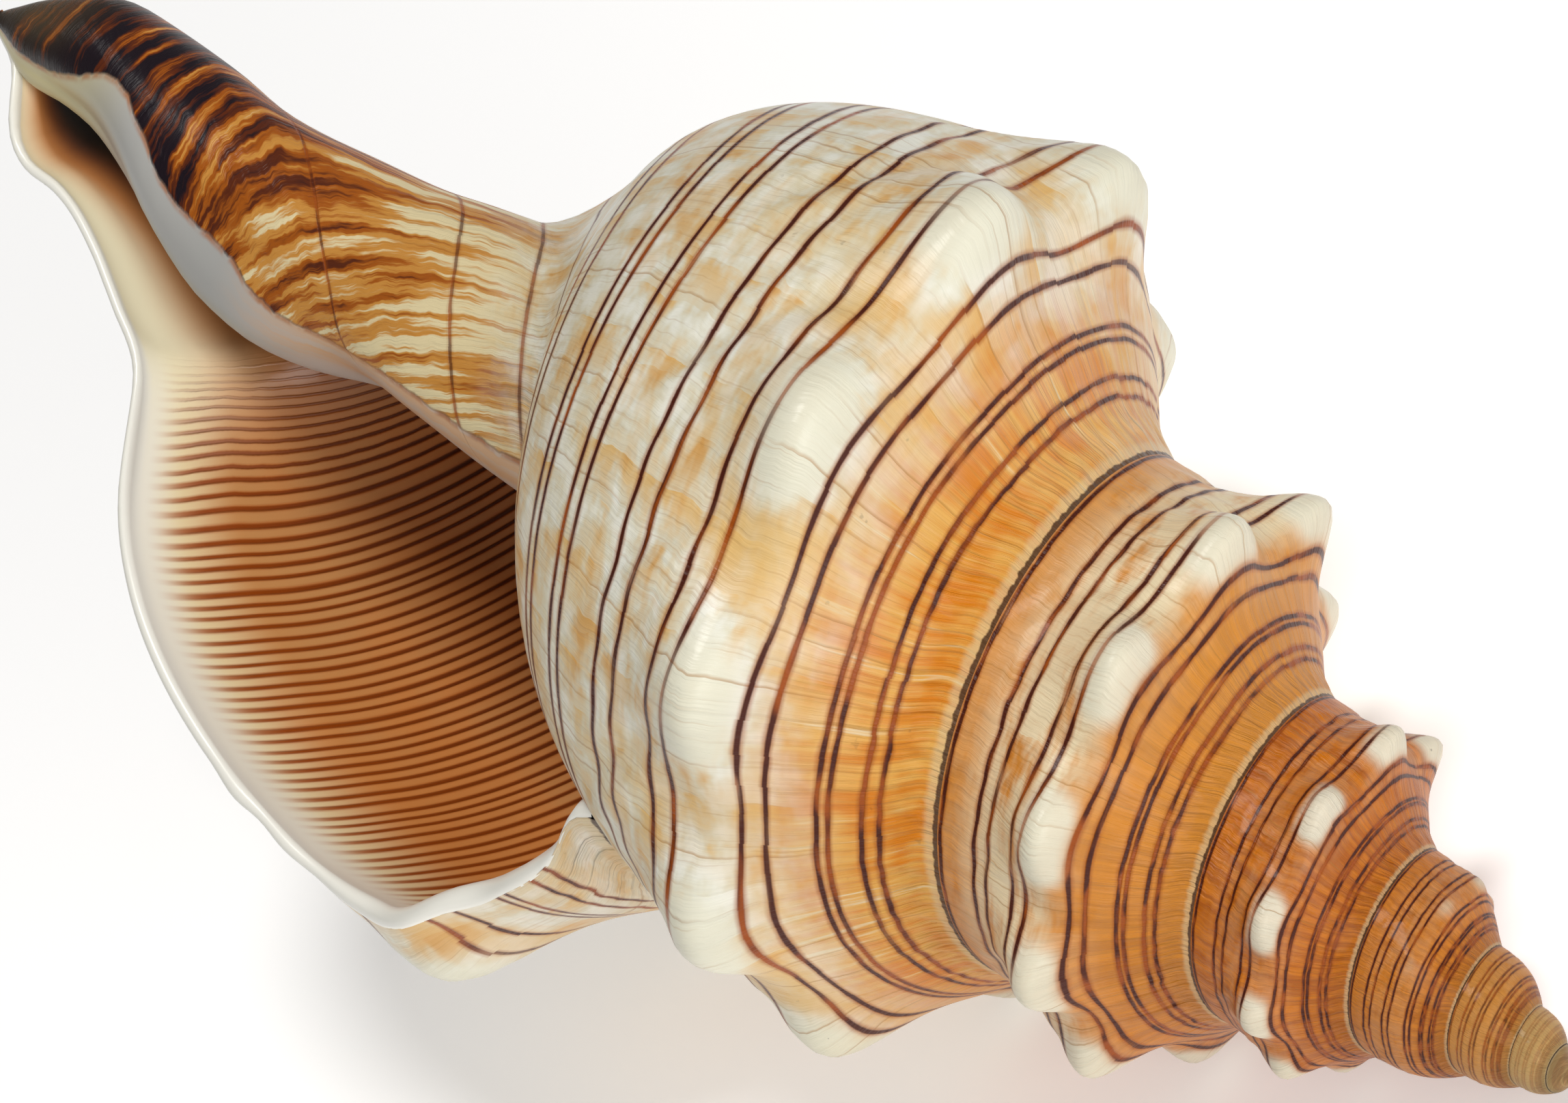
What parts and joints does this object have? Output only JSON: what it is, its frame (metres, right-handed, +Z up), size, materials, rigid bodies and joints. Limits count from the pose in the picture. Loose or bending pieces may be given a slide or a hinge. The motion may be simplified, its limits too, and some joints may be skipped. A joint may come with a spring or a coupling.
{
  "type": "trapezium horse conch shell",
  "caption": "Large spindle-shaped sea snail shell with knobbed whorls, thin dark paired spiral lines, an open mouth and a long canal.",
  "frame": {"origin": "centre of the bounding box's bottom face, on the surface that the shell lies on", "axes": "+X towards the apex of the spire seen from above, +Z up from the surface"},
  "size_m": [0.1624, 0.0828, 0.0813],
  "materials": {
    "shell": "glossy"
  },
  "bodies": {
    "root": {"shell": "shell"}
  },
  "joints": []
}
